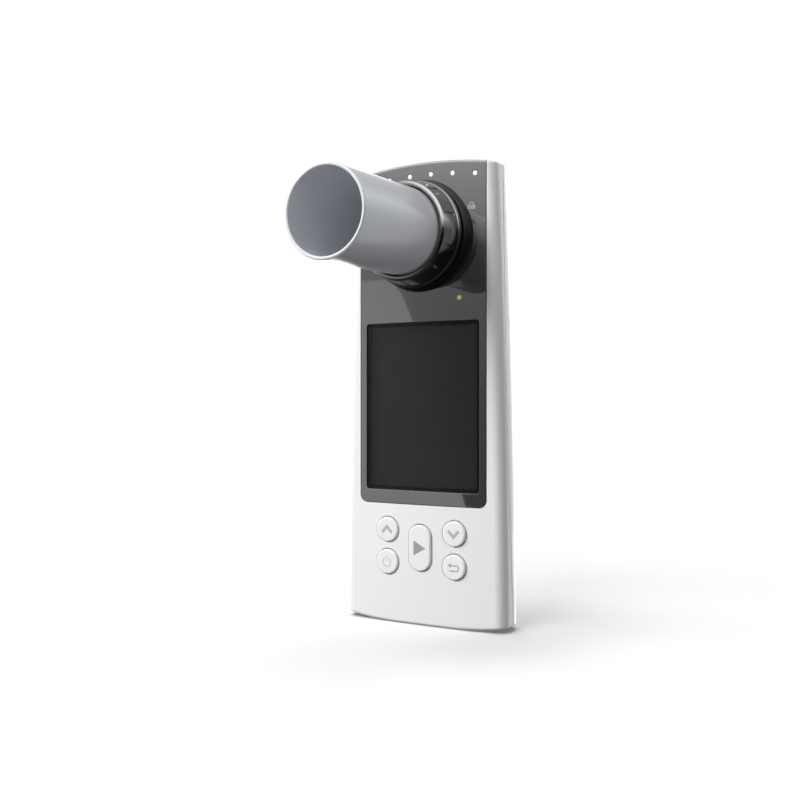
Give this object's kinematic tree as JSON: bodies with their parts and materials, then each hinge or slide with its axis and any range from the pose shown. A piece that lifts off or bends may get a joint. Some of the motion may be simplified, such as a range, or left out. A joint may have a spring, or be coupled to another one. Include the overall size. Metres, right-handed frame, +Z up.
{
  "type": "handheld spirometer",
  "caption": "Hand-held turbine spirometer: slim upright case with display and keys, a round breathing tube in a twist ring, swirl stators and a spinning vane inside.",
  "frame": {"origin": "middle of the resting flat under the base, at half the case's depth", "axes": "+Z up along the case's height, -Y towards the user, along the breathing tube, +X across the case"},
  "size_m": [0.0644, 0.0761, 0.162],
  "materials": {
    "case_white": "satin white moulded plastic",
    "lens_grey": "polished dark grey acrylic",
    "clear_glass": "polished",
    "gasket_black": "matt",
    "lcd_dark": "polished",
    "frame_white": "moulded",
    "socket_black": "moulded",
    "seal_rubber": "matt",
    "ring_black": "polished black",
    "tube_blue_grey": "polished, slightly milky",
    "turbine_clear": "polished",
    "jewel": "polished",
    "axle_steel": "ground",
    "blade_film": "thin film",
    "guard_grey": "moulded",
    "key_white": "satin white moulded plastic",
    "switch_metal": "pressed",
    "plunger_black": "moulded",
    "pipe_white": "milky",
    "status_green": "milky",
    "lamp_white": "moulded",
    "board_green": "solder mask",
    "chip_black": "moulded",
    "battery_wrap": "foil pouch",
    "pad_foam": "foam",
    "usb_metal": "pressed",
    "buzzer_black": "moulded",
    "sensor_dark": "moulded",
    "screw_steel": "zinc plated"
  },
  "bodies": {
    "case": {"front_cover": "case_white", "rear_cover": "case_white", "lens_panel": "lens_grey", "display_glass": "clear_glass", "display_gasket": "gasket_black", "display_panel": "lcd_dark", "display_frame": "frame_white", "tube_socket": "socket_black", "tube_seal": "seal_rubber", "bezel_ring": "socket_black", "outlet_guard": "guard_grey", "key_switches": "switch_metal", "indicator_pipes": "pipe_white", "indicator_lamps": "lamp_white", "status_pipe": "status_green", "status_lamp": "lamp_white", "main_board": "board_green", "board_chips": "chip_black", "battery_cell": "battery_wrap", "battery_pad": "pad_foam", "usb_socket": "usb_metal", "buzzer": "buzzer_black", "flow_sensors": "sensor_dark", "case_screws": "screw_steel", "board_screws": "screw_steel"},
    "ring": {"grip_ring": "ring_black"},
    "mouthpiece": {"flow_tube": "tube_blue_grey", "front_stator": "turbine_clear", "rear_stator": "turbine_clear", "front_bearing": "jewel", "rear_bearing": "jewel"},
    "rotor": {"rotor_axle": "axle_steel", "rotor_vane": "blade_film"},
    "up_button": {"up_key": "key_white", "up_plunger": "plunger_black"},
    "power_button": {"power_key": "key_white", "power_plunger": "plunger_black"},
    "play_button": {"play_key": "key_white", "play_plunger": "plunger_black"},
    "down_button": {"down_key": "key_white", "down_plunger": "plunger_black"},
    "back_button": {"back_key": "key_white", "back_plunger": "plunger_black"}
  },
  "joints": [
    {"name": "ring_twist", "type": "hinge", "parent": "case", "child": "ring", "pos_m": [0, -0.018, 0.1362], "axis": [0, -1, 0], "range_deg": [0, 30]},
    {"name": "tube_slide", "type": "slide", "parent": "case", "child": "mouthpiece", "axis": [0, -1, 0], "range_m": [0, 0.036]},
    {"name": "rotor_spin", "type": "hinge", "parent": "mouthpiece", "child": "rotor", "pos_m": [0, -0.0034, 0.1362], "axis": [0, -1, 0], "continuous": true},
    {"name": "up_press", "type": "slide", "parent": "case", "child": "up_button", "axis": [0, 1, 0], "range_m": [0, 0.0005], "stiffness_N_per_m": 2000},
    {"name": "power_press", "type": "slide", "parent": "case", "child": "power_button", "axis": [0, 1, 0], "range_m": [0, 0.0005], "stiffness_N_per_m": 2000},
    {"name": "play_press", "type": "slide", "parent": "case", "child": "play_button", "axis": [0, 1, 0], "range_m": [0, 0.0005], "stiffness_N_per_m": 2000},
    {"name": "down_press", "type": "slide", "parent": "case", "child": "down_button", "axis": [0, 1, 0], "range_m": [0, 0.0005], "stiffness_N_per_m": 2000},
    {"name": "back_press", "type": "slide", "parent": "case", "child": "back_button", "axis": [0, 1, 0], "range_m": [0, 0.0005], "stiffness_N_per_m": 2000}
  ]
}
